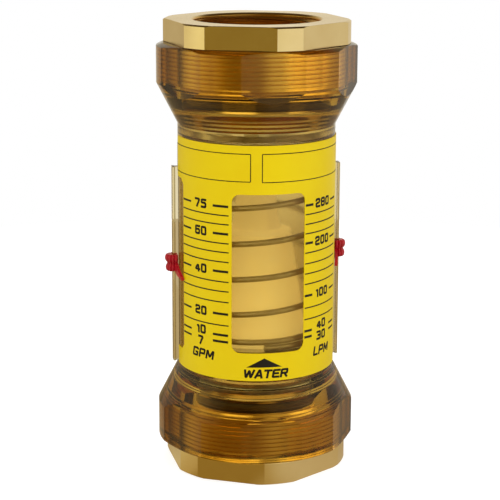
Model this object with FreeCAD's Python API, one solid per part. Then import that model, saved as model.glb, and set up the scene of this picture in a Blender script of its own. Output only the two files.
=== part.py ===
import FreeCAD, Part
import math
import os

# Rotameter: an in-line variable-area flow meter with a clear body, for 1-1/2 in. pipe.
#
# Water enters at the bottom and leaves at the top. A stainless disc with a sharp-edged hole rides
# up a tapered cone against a spring, and its height is read through the window of a wrapped scale.
# Two red pointers slide on rails beside the scale to mark a high and a low flow.
#
# Millimetres. Z is the flow axis, z = 0 is the face of the lower port, the window faces -Y.

# ---- Driving dimensions ----------------------------------------------------------------------
length = 168.0                    # from port face to port face

# Clear body: a round tube between two hexagonal ends with turned corners
tube_radius = 29.3
end_flats = 70.4                  # across the flats of a hexagonal end
end_corner_radius = 37.0
end_length = 14.6                 # straight part of an end
taper_length = 15.0               # cone between an end and the tube
end_chamfer_height = 1.0
end_chamfer_depth = 2.3
end_turn = 30.0                   # angle of a corner from the window's centre, degrees
float_bore_radius = 25.0          # bore that the float disc travels in
inlet_bore_radius = 23.7          # smaller bore below it: the step carries the float at zero flow
float_rest_gap = 7.0              # from the lower spider to the step
body_thread_radius = 30.0
body_thread_depth = 15.5
seal_bore_radius = 28.3
seal_bore_depth = 6.4
thread_lead_in = 0.7

# Rails for the pointers, moulded on the tube at its two sides: a T in section
rail_top_margin = 15.9            # below the tube's top
rail_stem_width = 1.8
rail_head_width = 3.4
rail_head_gap = 1.4               # between the tube and the head
rail_head_thickness = 1.0
rail_root_depth = 1.0             # in the tube's wall

# Brass end fittings
flange_height = 8.5
flange_flats = 64.0
flange_corner_radius = 34.5
flange_edge_chamfer = 0.5
port_radius = 23.1                # wall of the pipe thread at its pitch line
port_thread_depth = 18.0
port_mouth_chamfer = 0.8
port_bore_radius = 21.5
lower_fitting_turn = 4.3          # angle of a corner from the window's centre, degrees
upper_fitting_turn = 10.3
thread_clearance = 0.2
thread_pitch = 1.5875             # 16 to the inch
thread_depth = 0.9
thread_runout = 1.0               # the spigot's thread ends this far short of the body's
nose_clearance = 0.3
nose_end_gap = 0.4
o_ring_section = 3.0
o_ring_squeeze = 0.05             # taken off the ring's radius, so that it just touches
o_ring_groove_width = 3.8
o_ring_from_nose = 3.0            # middle of the groove from the end of the nose

# Scale label, wrapped round the tube
label_thickness = 0.25
label_adhesive = 0.05
label_bottom_margin = 0.6         # from the tube's bottom
label_top_margin = 4.1
label_half_angle = 88.0
notch_half_angle = 74.0           # the label is cut back beside the pointers' travel
notch_bottom_margin = 8.7         # from the label's bottom edge
notch_top_margin = 17.2
notch_corner = 2.0
window_bottom_margin = 10.5       # from the label's bottom edge
window_top_margin = 17.7
window_half_angle = 26.8
window_corner_radius = 3.0

# Metering cone
cone_large_radius = 19.2
cone_straight_spare = 1.4         # how far above the resting float the taper starts
cone_shoulder_radius = 13.0       # level with the insert's top
cone_neck_radius = 9.2            # above the shoulder
cone_tip_radius = 4.2
cone_neck_rise = 0.8              # height of the slope from the shoulder in to the neck
cone_foot_radius = 16.5
cone_foot_height = 5.0
cone_wall = 2.6
cavity_top = 77.0
insert_bottom = 79.0
insert_height = 10.5
insert_radius = 8.0
insert_waist = 0.8

# Spiders: plates with legs that centre the cone
lower_ring_gap = 2.35             # from the lower fitting's nose to its retaining ring's groove
upper_ring_gap = 11.85
spider_thickness = 2.0
spider_fit = 0.2
lower_seat_radius = 26.6          # counterbore for the lower spider
lower_spider_legs = 4
lower_spider_turn = 45.0          # of its first leg from the back, degrees
upper_spider_legs = 3
upper_spider_turn = 0.0
leg_width = 5.0
spider_rim_width = 2.6
lower_hub_radius = 9.0
upper_hub_radius = 8.6

# Internal retaining rings
ring_thickness = 1.5
ring_groove_depth = 1.4
ring_width = 2.8
ring_clearance = 0.15
ring_gap_angle = 34.0
ring_lug_radius = 2.3
ring_lug_hole_radius = 0.9

# Fasteners of the cone
bolt_radius = 4.0
bolt_head_flats = 13.0
bolt_head_height = 5.3
bolt_tip_gap = 1.5                # between the bolt's end and the insert's top
screw_radius = 2.5
screw_head_flats = 8.0
screw_head_height = 3.5
screw_length = 12.0               # in the cone
screw_hole_spare = 1.5
head_crown_depth = 0.12           # chamfer of a bolt's head, as a share of its flats
head_crown_height = 0.07
shank_hole_clearance = 0.3
thread_fit = 0.05
washer_width = 3.2
bolt_washer_thickness = 2.0
screw_washer_thickness = 1.3
washer_gap_width = 1.2

# Float and spring
float_height = 5.3
float_web_thickness = 1.6
float_clearance = 0.3
float_skirt_width = 1.8
orifice_clearance = 0.3
orifice_bevel = 0.8
spring_wire = 2.2
spring_radius = 23.0
spring_closed_turns = 0.95
spring_ramp_turns = 0.5
spring_active_turns = 4.5
spring_closed_pitch = 2.3
spring_start_angle = -2.0         # of the cut end, from the window's centre
spring_points_per_turn = 12
spring_wire_sides = 8             # the wire is eight-sided in section, which keeps the solid light

# Pointers
pointer_radius = 3.3
pointer_height = 6.4
pointer_crown = 0.5
pointer_flutes = 10
pointer_flute_radius = 0.55
pointer_rail_clearance = 0.25
pointer_tube_clearance = 0.3
pointer_tip_angle = 72.0          # from the window's centre
pointer_tip_drop = 4.5
pointer_tail_thickness = 1.1
pointer_tail_above = 1.4          # the blade's root, above and below the grip's middle
pointer_tail_below = 3.0
pointer_tip_width = 0.8
left_pointer_height = 77.4
right_pointer_height = 80.8

# ---- Places that follow from them --------------------------------------------------------------
axis = FreeCAD.Vector(0, 0, 1)
origin = FreeCAD.Vector(0, 0, 0)
body_bottom = flange_height
body_top = length - flange_height
taper_start = body_bottom + end_length
tube_bottom = taper_start + taper_length
tube_top = length - tube_bottom
seal_bore_end = body_bottom + body_thread_depth + seal_bore_depth
nose_end = seal_bore_end - nose_end_gap
ring_room = ring_thickness + ring_clearance
lower_ring_groove_bottom = nose_end + lower_ring_gap
lower_spider_height = lower_ring_groove_bottom + ring_room + spider_thickness
upper_ring_groove_bottom = length - nose_end - upper_ring_gap - ring_room
upper_spider_height = upper_ring_groove_bottom - spider_thickness
float_rest_height = lower_spider_height + float_rest_gap
float_bottom = float_rest_height + float_clearance
float_top = float_bottom + float_height
cone_large_height = float_top + cone_straight_spare
rail_top = tube_top - rail_top_margin
rail_head_inner = tube_radius + rail_head_gap
rail_head_outer = rail_head_inner + rail_head_thickness
rail_middle = (rail_head_inner + rail_head_outer) / 2
label_radius = tube_radius + label_adhesive + label_thickness
label_bottom = tube_bottom + label_bottom_margin
label_top = tube_top - label_top_margin
notch_bottom = label_bottom + notch_bottom_margin
notch_top = label_top - notch_top_margin
window_bottom = label_bottom + window_bottom_margin
window_top = label_top - window_top_margin
spare = 1.0                       # how far a cut reaches past what it cuts


def vec(x, y, z):
    return FreeCAD.Vector(x, y, z)


def turned(points):
    """A ring or disc turned from a closed outline of (radius, height) points."""
    corners = [vec(r, 0, z) for r, z in points]
    outline = Part.makePolygon(corners + corners[:1])
    return Part.Face(outline).revolve(origin, axis, 360)


def cylinder(radius, bottom, top):
    return Part.makeCylinder(radius, top - bottom, vec(0, 0, bottom))


def hexagon(flats, bottom, top, corner_angle):
    """A hexagonal prism with one corner at this angle from the window's centre."""
    corner = flats / math.sqrt(3)
    corners = []
    for i in range(7):
        angle = math.radians(corner_angle - 90 + 60 * i)
        corners.append(vec(corner * math.cos(angle), corner * math.sin(angle), bottom))
    return Part.Face(Part.makePolygon(corners)).extrude(vec(0, 0, top - bottom))


def prism_x(points, x0, x1):
    """A prism along X from a closed outline of (y, z) points."""
    corners = [vec(x0, y, z) for y, z in points]
    return Part.Face(Part.makePolygon(corners + corners[:1])).extrude(vec(x1 - x0, 0, 0))


def upside_down(shape):
    """The same shape for the other end of the meter."""
    return shape.mirror(vec(0, 0, length / 2), axis)


# ---- Body --------------------------------------------------------------------------------------
def body_blank():
    """The outside of the body, before it is bored."""
    chamfer_radius = end_corner_radius - end_chamfer_depth
    lower = [
        (0, body_bottom),
        (chamfer_radius, body_bottom),
        (end_corner_radius, body_bottom + end_chamfer_height),
        (end_corner_radius, taper_start),
        (tube_radius, tube_bottom),
    ]
    upper = [(r, length - z) for r, z in reversed(lower)]
    flats = hexagon(end_flats, body_bottom, body_top, end_turn)
    return turned(lower + upper).common(flats)


def rail():
    """The right-hand rail, rooted in the tube's wall."""
    root = tube_radius - rail_root_depth
    height = rail_top - tube_bottom
    stem = Part.makeBox(rail_head_outer - root, rail_stem_width, height)
    stem.translate(vec(root, -rail_stem_width / 2, tube_bottom))
    head = Part.makeBox(rail_head_thickness, rail_head_width, height)
    head.translate(vec(rail_head_inner, -rail_head_width / 2, tube_bottom))
    return stem.fuse(head)


def end_bore():
    """What the lower end is bored out to: the thread, its lead-in and the seal's bore."""
    thread_end = body_bottom + body_thread_depth
    return turned([
        (0, 0),
        (body_thread_radius + thread_lead_in, 0),
        (body_thread_radius + thread_lead_in, body_bottom),
        (body_thread_radius, body_bottom + thread_lead_in),
        (body_thread_radius, thread_end),
        (seal_bore_radius + thread_lead_in, thread_end),
        (seal_bore_radius, thread_end + thread_lead_in),
        (seal_bore_radius, seal_bore_end),
        (0, seal_bore_end),
    ])


def ring_groove(bore_radius, bottom):
    return cylinder(bore_radius + ring_groove_depth, bottom, bottom + ring_room)


def clear_body():
    body = body_blank()
    right_rail = rail()
    body = body.fuse([right_rail, right_rail.mirror(origin, vec(1, 0, 0))])
    cuts = [
        end_bore(),
        upside_down(end_bore()),
        cylinder(lower_seat_radius, body_bottom, lower_spider_height),
        cylinder(inlet_bore_radius, body_bottom, float_rest_height),
        cylinder(float_bore_radius, float_rest_height, body_top),
        ring_groove(lower_seat_radius, lower_ring_groove_bottom),
        ring_groove(float_bore_radius, upper_ring_groove_bottom),
    ]
    return body.cut(cuts).removeSplitter()


# ---- End fittings and their seals --------------------------------------------------------------
def thread_outline(radius, bottom, top):
    """The side of a thread of this radius as (radius, height) points, drawn as rings, upwards."""
    turns = int((top - bottom) / thread_pitch)
    points = []
    for i in range(turns):
        start = bottom + i * thread_pitch
        points += [(radius - thread_depth, start), (radius, start + thread_pitch / 2)]
    return points + [(radius - thread_depth, bottom + turns * thread_pitch)]


def end_fitting(corner_angle):
    """The lower fitting: hexagonal flange, threaded spigot, and a nose with the seal's groove."""
    thread_radius = body_thread_radius - thread_clearance
    thread_end = body_bottom + body_thread_depth - thread_runout
    nose_radius = seal_bore_radius - nose_clearance
    thread = thread_outline(thread_radius, flange_height, thread_end)
    edge = flange_edge_chamfer
    blank = turned([
        (0, 0),
        (flange_corner_radius - edge, 0),
        (flange_corner_radius, edge),
        (flange_corner_radius, flange_height),
    ] + thread + [
        (thread[-1][0], thread_end),
        (nose_radius, thread_end),
        (nose_radius, nose_end - edge),
        (nose_radius - edge, nose_end),
        (0, nose_end),
    ])
    bore = turned([
        (0, -spare),
        (port_radius + port_mouth_chamfer, -spare),
        (port_radius + port_mouth_chamfer, 0),
        (port_radius, port_mouth_chamfer),
        (port_radius, port_thread_depth),
        (port_bore_radius, port_thread_depth + port_radius - port_bore_radius),
        (port_bore_radius, nose_end + spare),
        (0, nose_end + spare),
    ])
    groove_middle = nose_end - o_ring_from_nose
    groove_bottom = groove_middle - o_ring_groove_width / 2
    groove = cylinder(body_thread_radius, groove_bottom, groove_bottom + o_ring_groove_width)
    groove = groove.cut(cylinder(seal_bore_radius - o_ring_section, 0, nose_end))
    flats = hexagon(flange_flats, 0, nose_end, corner_angle)
    return blank.common(flats).cut([bore, groove])


def o_ring():
    middle_radius = seal_bore_radius - o_ring_section / 2
    ring_radius = o_ring_section / 2 - o_ring_squeeze
    return Part.makeTorus(middle_radius, ring_radius, vec(0, 0, nose_end - o_ring_from_nose))


# ---- Scale label -------------------------------------------------------------------------------
def window_opening():
    """A prism along Y with rounded corners, over the window."""
    half_width = tube_radius * math.sin(math.radians(window_half_angle))
    opening = Part.makeBox(2 * half_width, label_radius, window_top - window_bottom)
    opening.translate(vec(-half_width, -label_radius - spare, window_bottom))
    edges = [e for e in opening.Edges if abs(e.tangentAt(e.FirstParameter).y) > 0.99]
    return opening.makeFillet(window_corner_radius, edges)


def label_notch():
    """The notch on the right edge, with slanted corners."""
    front = -label_radius * math.cos(math.radians(notch_half_angle))
    outline = [
        (label_radius, notch_bottom - notch_corner),
        (front + notch_corner, notch_bottom - notch_corner),
        (front, notch_bottom),
        (front, notch_top),
        (front + notch_corner, notch_top + notch_corner),
        (label_radius, notch_top + notch_corner),
    ]
    return prism_x(outline, tube_radius / 2, label_radius + spare)


def scale_label():
    height = label_top - label_bottom
    sheet = Part.makeCylinder(label_radius, height, vec(0, 0, label_bottom), axis, 2 * label_half_angle)
    sheet.rotate(origin, axis, -90 - label_half_angle)
    notch = label_notch()
    cuts = [
        cylinder(label_radius - label_thickness, label_bottom, label_top),
        window_opening(),
        notch,
        notch.mirror(origin, vec(1, 0, 0)),
    ]
    return sheet.cut(cuts)


# ---- Cone, spiders and fasteners ---------------------------------------------------------------
def metering_cone():
    """The clear cone in two tapers, cored from below, with room for its insert and the tip's screw."""
    foot_top = lower_spider_height + cone_foot_height
    shoulder_height = insert_bottom + insert_height
    cavity_share = (cavity_top - cone_large_height) / (shoulder_height - cone_large_height)
    radius_at_cavity = cone_large_radius + cavity_share * (cone_shoulder_radius - cone_large_radius)
    shell = turned([
        (cone_foot_radius - cone_wall, lower_spider_height),
        (cone_foot_radius, lower_spider_height),
        (cone_large_radius, foot_top),
        (cone_large_radius, cone_large_height),
        (cone_shoulder_radius, shoulder_height),
        (cone_neck_radius, shoulder_height + cone_neck_rise),
        (cone_tip_radius, upper_spider_height),
        (0, upper_spider_height),
        (0, cavity_top),
        (radius_at_cavity - cone_wall, cavity_top),
        (cone_large_radius - cone_wall, cone_large_height),
        (cone_large_radius - cone_wall, foot_top),
    ])
    hole_bottom = upper_spider_height - screw_length - screw_hole_spare
    cuts = [
        cylinder(bolt_radius + shank_hole_clearance, cavity_top - spare, insert_bottom),
        cone_insert_blank(),
        cylinder(screw_radius + thread_fit, hole_bottom, upper_spider_height + spare),
    ]
    return shell.cut(cuts)


def cone_insert_blank():
    """The outside of the insert: a waisted cylinder, which the cone is moulded round."""
    top = insert_bottom + insert_height
    waist_bottom = insert_bottom + insert_height / 3
    waist_top = top - insert_height / 3
    waist_radius = insert_radius - insert_waist
    return turned([
        (0, insert_bottom),
        (insert_radius, insert_bottom),
        (insert_radius, waist_bottom - insert_waist),
        (waist_radius, waist_bottom),
        (waist_radius, waist_top),
        (insert_radius, waist_top + insert_waist),
        (insert_radius, top),
        (0, top),
    ])


def cone_insert():
    hole = cylinder(bolt_radius + thread_fit, insert_bottom, insert_bottom + insert_height - bolt_tip_gap)
    return cone_insert_blank().cut(hole)


def spider(outer_radius, bottom, legs, turn, hub_radius, hole_radius):
    """A flat plate: rim, legs and hub."""
    top = bottom + spider_thickness
    rim = cylinder(outer_radius, bottom, top)
    rim = rim.cut(cylinder(outer_radius - spider_rim_width, bottom, top))
    arms = []
    for i in range(legs):
        arm = Part.makeBox(outer_radius - spider_rim_width / 2, leg_width, spider_thickness)
        arm.translate(vec(0, -leg_width / 2, bottom))
        arm.rotate(origin, axis, 90 + turn + 360 * i / legs)
        arms.append(arm)
    plate = rim.fuse(arms + [cylinder(hub_radius, bottom, top)])
    return plate.cut(cylinder(hole_radius, bottom, top)).removeSplitter()


def lower_spider():
    return spider(
        outer_radius=lower_seat_radius - spider_fit,
        bottom=lower_spider_height - spider_thickness,
        legs=lower_spider_legs,
        turn=lower_spider_turn,
        hub_radius=lower_hub_radius,
        hole_radius=bolt_radius + shank_hole_clearance,
    )


def upper_spider():
    return spider(
        outer_radius=float_bore_radius - spider_fit,
        bottom=upper_spider_height,
        legs=upper_spider_legs,
        turn=upper_spider_turn,
        hub_radius=upper_hub_radius,
        hole_radius=screw_radius + shank_hole_clearance,
    )


def hex_bolt(radius, head_flats, head_height, head_bottom, shank_length):
    """A hexagon-head bolt with its head down and its shank up."""
    seat = head_bottom + head_height
    head = hexagon(head_flats, head_bottom, seat, 0)
    corner = head_flats / math.sqrt(3)
    crown = turned([
        (0, head_bottom),
        (corner - head_flats * head_crown_depth, head_bottom),
        (corner, head_bottom + head_flats * head_crown_height),
        (corner, seat),
        (0, seat),
    ])
    return head.common(crown).fuse(cylinder(radius, seat, seat + shank_length))


def lock_washer(radius, thickness, bottom):
    """A split spring washer."""
    inner = radius + shank_hole_clearance
    ring = cylinder(inner + washer_width, bottom, bottom + thickness)
    gap = Part.makeBox(inner + washer_width + spare, washer_gap_width, thickness)
    gap.translate(vec(0, -washer_gap_width / 2, bottom))
    return ring.cut([cylinder(inner, bottom, bottom + thickness), gap])


def bolt_lock_washer():
    bottom = lower_spider_height - spider_thickness - bolt_washer_thickness
    return lock_washer(bolt_radius, bolt_washer_thickness, bottom)


def cone_bolt():
    seat = lower_spider_height - spider_thickness - bolt_washer_thickness
    tip = insert_bottom + insert_height - 2 * bolt_tip_gap
    head_bottom = seat - bolt_head_height
    return hex_bolt(bolt_radius, bolt_head_flats, bolt_head_height, head_bottom, tip - seat)


def tip_lock_washer():
    return lock_washer(screw_radius, screw_washer_thickness, upper_spider_height + spider_thickness)


def tip_screw():
    seat = upper_spider_height + spider_thickness + screw_washer_thickness
    shank = seat - upper_spider_height + screw_length
    screw = hex_bolt(screw_radius, screw_head_flats, screw_head_height, -screw_head_height, shank)
    screw.rotate(origin, vec(1, 0, 0), 180)
    screw.translate(vec(0, 0, seat))
    return screw


# ---- Retaining rings ---------------------------------------------------------------------------
def retaining_ring(bore_radius, bottom):
    """An internal retaining ring: an open ring with two lugs for the pliers, its gap at the back."""
    top = bottom + ring_thickness
    outer = bore_radius + ring_groove_depth - ring_clearance
    lug_place = bore_radius - ring_clearance - ring_lug_radius
    half_gap = math.radians(ring_gap_angle / 2)
    ring = cylinder(outer, bottom, top).cut(cylinder(outer - ring_width, bottom, top))
    reach = outer + spare
    gap_side = reach * math.tan(half_gap)
    tip = vec(0, 0, bottom)
    gap = Part.makePolygon([tip, vec(gap_side, reach, bottom), vec(-gap_side, reach, bottom), tip])
    ring = ring.cut(Part.Face(gap).extrude(vec(0, 0, ring_thickness)))
    lugs = []
    holes = []
    for side in (-1, 1):
        angle = half_gap + ring_lug_radius / lug_place
        place = vec(side * lug_place * math.sin(angle), lug_place * math.cos(angle), bottom)
        lugs.append(Part.makeCylinder(ring_lug_radius, ring_thickness, place))
        holes.append(Part.makeCylinder(ring_lug_hole_radius, ring_thickness, place))
    return ring.fuse(lugs).cut(holes).removeSplitter()


def lower_retaining_ring():
    return retaining_ring(lower_seat_radius, lower_ring_groove_bottom + ring_clearance)


def upper_retaining_ring():
    return retaining_ring(float_bore_radius, upper_ring_groove_bottom)


# ---- Float and spring --------------------------------------------------------------------------
def float_disc():
    """The travelling disc: a guiding skirt under a web with a sharp-edged hole."""
    outer = float_bore_radius - float_clearance
    hole = cone_large_radius + orifice_clearance
    web_bottom = float_top - float_web_thickness
    return turned([
        (outer, float_bottom),
        (outer, float_top),
        (hole + orifice_bevel, float_top),
        (hole, float_top - orifice_bevel),
        (hole, web_bottom),
        (outer - float_skirt_width, web_bottom),
        (outer - float_skirt_width, float_bottom),
    ])


def spring_pitches():
    """Stretches of the spring as (turns, pitch at the start, pitch at the end)."""
    height = upper_spider_height - float_top - spring_wire
    closed = 2 * spring_closed_turns * spring_closed_pitch
    ramps = spring_ramp_turns * spring_closed_pitch
    pitch = (height - closed - ramps) / (spring_active_turns + spring_ramp_turns)
    return [
        (spring_closed_turns, spring_closed_pitch, spring_closed_pitch),
        (spring_ramp_turns, spring_closed_pitch, pitch),
        (spring_active_turns, pitch, pitch),
        (spring_ramp_turns, pitch, spring_closed_pitch),
        (spring_closed_turns, spring_closed_pitch, spring_closed_pitch),
    ]


def spring_height_at(turn):
    """Height of the wire's centre above the first end's centre, after so many turns."""
    height = 0
    for turns, first, last in spring_pitches():
        part = min(max(turn, 0), turns)
        height += first * part + (last - first) * part * part / (2 * turns)
        turn -= turns
    return height


def spring():
    """A compression spring with closed ends, standing on the float under the upper spider."""
    total = sum(turns for turns, first, last in spring_pitches())
    steps = round(total * spring_points_per_turn)
    bottom = float_top + spring_wire / 2
    path = []
    for i in range(steps + 1):
        turn = total * i / steps
        angle = math.radians(spring_start_angle - 90 + 360 * turn)
        height = bottom + spring_height_at(turn)
        path.append(vec(spring_radius * math.cos(angle), spring_radius * math.sin(angle), height))
    curve = Part.BSplineCurve()
    curve.interpolate(path)
    section = wire_section(path[0], curve.tangent(curve.FirstParameter)[0])
    return Part.Wire(curve.toShape()).makePipeShell([section], True, True)


def wire_section(centre, along):
    """The outline of the wire at one end, square to its run, with a flat side up and down."""
    outward = vec(centre.x, centre.y, 0).normalize()
    upward = along.cross(outward).normalize()
    reach = spring_wire / 2 / math.cos(math.pi / spring_wire_sides)
    corners = []
    for i in range(spring_wire_sides + 1):
        angle = 2 * math.pi * (i + 0.5) / spring_wire_sides
        corners.append(centre + outward * (reach * math.cos(angle)) + upward * (reach * math.sin(angle)))
    return Part.makePolygon(corners)


# ---- Pointers ----------------------------------------------------------------------------------
def pointer(height):
    """The right-hand pointer: a fluted grip clipped on the rail, and a tail that points at the scale."""
    bottom = height - pointer_height / 2
    top = height + pointer_height / 2
    edge = pointer_radius - pointer_crown
    grip = turned([(0, bottom), (edge, bottom), (pointer_radius, bottom + 2 * pointer_crown),
                   (pointer_radius, top - 2 * pointer_crown), (edge, top), (0, top)])
    flutes = []
    for i in range(pointer_flutes):
        angle = 2 * math.pi * (i + 0.5) / pointer_flutes
        place = vec(pointer_radius * math.cos(angle), pointer_radius * math.sin(angle), bottom)
        flutes.append(Part.makeCylinder(pointer_flute_radius, pointer_height, place))
    grip = grip.cut(flutes)
    grip.translate(vec(rail_middle, 0, 0))
    body = grip.fuse(pointer_tail(height))
    clear_radius = label_radius + pointer_tube_clearance
    return body.cut([cylinder(clear_radius, bottom - pointer_tip_drop, top + spare), rail_slot(height)])


def pointer_tail(height):
    """A thin blade that follows the label round to the outer ends of the scale's lines."""
    inner = label_radius
    outer = label_radius + pointer_tube_clearance + pointer_tail_thickness
    tip = -outer * math.cos(math.radians(pointer_tip_angle))
    low = height - pointer_tip_drop
    outline = [
        (0, height + pointer_tail_above),
        (tip, low + pointer_tip_width / 2),
        (tip, low - pointer_tip_width / 2),
        (0, height - pointer_tail_below),
    ]
    blade = prism_x(outline, tube_radius / 2, outer + spare)
    ring = cylinder(outer, low - spare, height + pointer_height)
    ring = ring.cut(cylinder(inner, low - spare, height + pointer_height))
    return blade.common(ring)


def rail_slot(height):
    """Room for the rail's head and stem with a running clearance."""
    gap = pointer_rail_clearance
    bottom = height - pointer_height
    head = Part.makeBox(rail_head_thickness + 2 * gap, rail_head_width + 2 * gap, 2 * pointer_height)
    head.translate(vec(rail_head_inner - gap, -rail_head_width / 2 - gap, bottom))
    stem = Part.makeBox(rail_head_gap + spare, rail_stem_width + 2 * gap, 2 * pointer_height)
    stem.translate(vec(tube_radius - spare, -rail_stem_width / 2 - gap, bottom))
    return head.fuse(stem)


# ---- Sub-parts by name -------------------------------------------------------------------------
def sub_parts():
    return {
        "clear_body": clear_body(),
        "lower_end_fitting": end_fitting(lower_fitting_turn),
        "upper_end_fitting": upside_down(end_fitting(upper_fitting_turn)),
        "lower_o_ring": o_ring(),
        "upper_o_ring": upside_down(o_ring()),
        "scale_label": scale_label(),
        "metering_cone": metering_cone(),
        "cone_insert": cone_insert(),
        "lower_spider": lower_spider(),
        "cone_bolt": cone_bolt(),
        "bolt_lock_washer": bolt_lock_washer(),
        "lower_retaining_ring": lower_retaining_ring(),
        "upper_spider": upper_spider(),
        "tip_screw": tip_screw(),
        "tip_lock_washer": tip_lock_washer(),
        "upper_retaining_ring": upper_retaining_ring(),
        "float_disc": float_disc(),
        "spring": spring(),
        "left_pointer": pointer(left_pointer_height).mirror(origin, vec(1, 0, 0)),
        "right_pointer": pointer(right_pointer_height),
    }


def write_parts():
    os.makedirs("parts", exist_ok=True)
    for name, shape in sub_parts().items():
        shape.exportStep(os.path.join("parts", name + ".step"))
        box = shape.BoundBox
        print(f"{name}: {len(shape.Solids)} solid, {shape.Volume:.1f} mm3, valid {shape.isValid()}, "
              f"z {box.ZMin:.2f} to {box.ZMax:.2f}")


write_parts()
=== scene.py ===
"""The looks of a rotameter: a clear amber body between two brass fittings, with a wrapped yellow
scale, a spring and a tapered cone behind its window, and two red pointers on rails.

Metres, +Z up, the window faces -Y. Angles round the meter are in degrees from the window's centre,
positive to the right of someone who looks at the window.
"""

import math

import bmesh
import bpy
from mathutils import Matrix, Vector

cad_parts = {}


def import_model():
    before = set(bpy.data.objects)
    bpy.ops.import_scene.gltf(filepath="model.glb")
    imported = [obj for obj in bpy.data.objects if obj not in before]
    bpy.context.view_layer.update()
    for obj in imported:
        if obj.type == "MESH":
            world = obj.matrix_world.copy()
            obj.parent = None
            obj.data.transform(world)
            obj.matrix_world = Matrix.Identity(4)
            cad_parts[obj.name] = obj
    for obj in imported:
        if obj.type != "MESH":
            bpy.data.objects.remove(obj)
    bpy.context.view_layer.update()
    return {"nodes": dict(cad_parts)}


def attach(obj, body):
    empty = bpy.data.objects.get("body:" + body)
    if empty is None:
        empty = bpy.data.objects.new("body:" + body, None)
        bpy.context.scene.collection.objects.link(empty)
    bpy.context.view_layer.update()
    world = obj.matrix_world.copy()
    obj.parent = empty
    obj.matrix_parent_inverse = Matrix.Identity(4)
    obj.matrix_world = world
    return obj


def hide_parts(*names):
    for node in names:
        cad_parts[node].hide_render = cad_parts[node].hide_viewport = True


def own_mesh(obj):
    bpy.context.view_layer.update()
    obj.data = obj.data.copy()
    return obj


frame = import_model()

MM = 0.001

# ---- Sizes, in millimetres ---------------------------------------------------------------------
LENGTH = 168.0
COLUMN_ANGLE = 1.5                # degrees between the columns of a turned mesh

# Clear body
END_FLATS = 70.4
END_CORNER_RADIUS = 37.0
END_TURN = 30.0
BODY_END = 8.55
BODY_OUTLINE = [(34.7, BODY_END), (37.0, 9.55), (37.0, 23.1), (29.3, 38.1)]
FLOAT_BORE = 25.0
LOWER_BORE = [(28.3, 24.7), (28.3, 30.4), (26.6, 30.4), (26.6, 32.35), (28.0, 32.35), (28.0, 34.0),
              (26.6, 34.0), (26.6, 36.0), (23.7, 36.0), (23.7, 43.0), (FLOAT_BORE, 43.0)]
UPPER_BORE = [(FLOAT_BORE, 124.5), (26.4, 124.5), (26.4, 126.15), (FLOAT_BORE, 126.15)]
UPPER_SEAT = [(FLOAT_BORE, 137.6), (28.3, 137.6), (28.3, 143.3)]
TURNED_RINGS = (127.8, 136.4, 5, 0.12)     # in the upper bore: from, to, count and depth
BODY_THREAD_ROOT = 29.2           # inside the spigot's metal: the sealed threads have no air between
BODY_THREAD_END = 24.0
BODY_EDGE = 0.2
BORE_LIMIT = 26.2                 # every wall nearer to the axis than this is machined
RAIL_ROOT = 28.6                  # in the tube's wall
RAIL_STEM = 1.8
RAIL_HEAD = 3.4
RAIL_HEAD_RADII = (30.7, 31.7)
RAIL_HEIGHTS = (39.2, 114.0)
RAIL_EDGE = 0.18

# Brass fittings
FLANGE_FLATS = 64.0
FLANGE_CORNER_RADIUS = 34.5
LOWER_FITTING_TURN = 4.3
UPPER_FITTING_TURN = 10.3
FLANGE_HEIGHT = 8.5
FLANGE_BEVEL = (0.9, 0.5)
FITTING_EDGE = 0.15
SPIGOT_ROOT = 29.25
SPIGOT_END = 23.0
NOSE_RADIUS = 28.0
NOSE_RISE = 0.7                   # of the bevel between spigot and nose
NOSE_END = 30.0
O_RING_GROOVE = (25.1, 28.9, 25.3)
PORT_RADIUS = 23.1
PORT_BORE = 21.5
PORT_DEPTH = 18.0
PORT_STEP = 1.6                   # height of the bevel between thread and bore
PORT_MOUTH = (23.4, 24.2)         # radii of the bevel at the mouth
PORT_LEAD = 0.8                   # and its height
TAPPED_RADIUS = 23.8              # the port's threads lie within it
BODY_THREAD_START = 8.8
BODY_THREAD_PITCH = 1.5875
BODY_THREAD_CREST = 0.55
PIPE_THREAD_PITCH = 2.209
PIPE_THREAD_CREST = 1.2
PIPE_THREAD_ROOT = 23.35
PIPE_THREAD_START = 1.5
PIPE_TAPER = 1 / 32               # of radius for length
# Both threads, and where there are two values, the body's and the pipe's
THREAD_FOOT = 0.9                 # width of a thread at its root, of its pitch
THREAD_FLATS = (0.62, 0.15)       # width at its crest, of its pitch
THREAD_CENTRE = 0.47              # how far up its section's middle lies, of its height, so it is sunk
THREAD_FADE = 16.0                # it rises and dies away in one part in so many of its length
THREAD_STEPS = 120                # per turn
THREAD_SHORT = (0.6, 0.8)         # turns that it stops short of its wall's length

# Scale label
LABEL_RADIUS = 29.6
LABEL_THICKNESS = 0.25
LABEL_HALF_ANGLE = 88.0
LABEL_HEIGHTS = (38.7, 125.8)
LABEL_CORNER = 1.0
NOTCH_HALF_ANGLE = 74.0
NOTCH_HEIGHTS = (47.4, 108.6)
NOTCH_SLANT = 2.0
WINDOW_HALF_ANGLE = 26.8
WINDOW_HEIGHTS = (49.2, 108.1)
WINDOW_CORNER = 3.0
INK_THICKNESS = 0.03
INK_SUNK = 0.005                  # in the label
SLICE = 0.8                       # width of the flat strips that a wrapped sheet is bent in

# Spring
SPRING_RADIUS = 23.0
SPRING_WIRE = 2.2
SPRING_HEIGHTS = (48.6, 122.5)
SPRING_CLOSED = (0.95, 2.3)       # turns and pitch of the closed coils at each end
SPRING_RAMP = 0.5
SPRING_ACTIVE = 4.5
SPRING_START = -2.0
SPRING_STEPS = 48                 # per turn

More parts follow.
